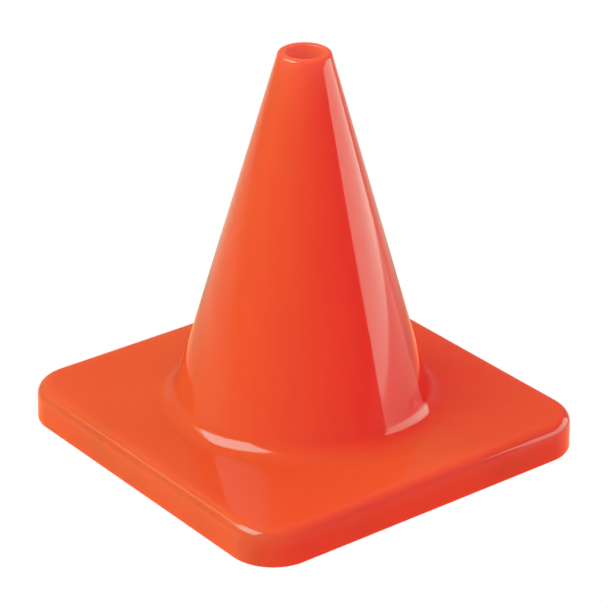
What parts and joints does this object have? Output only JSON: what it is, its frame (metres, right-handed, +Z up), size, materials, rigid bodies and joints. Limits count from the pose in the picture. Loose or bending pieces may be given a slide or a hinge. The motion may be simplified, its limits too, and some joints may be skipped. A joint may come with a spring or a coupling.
{
  "type": "traffic cone",
  "caption": "Small hollow one-piece cone on a square rounded plate, with a heavy slab locked into the plate's underside and a round hole through the tip.",
  "frame": {"origin": "on the ground, on the axis of the cone", "axes": "+Z up along the cone's axis, X and Y square to the sides of the base"},
  "size_m": [0.152, 0.152, 0.152],
  "materials": {
    "orange_pvc": "gloss",
    "black_filled_pvc": "matt, slightly grainy"
  },
  "bodies": {
    "root": {"cone_shell": "orange_pvc", "base_ballast": "black_filled_pvc"}
  },
  "joints": []
}
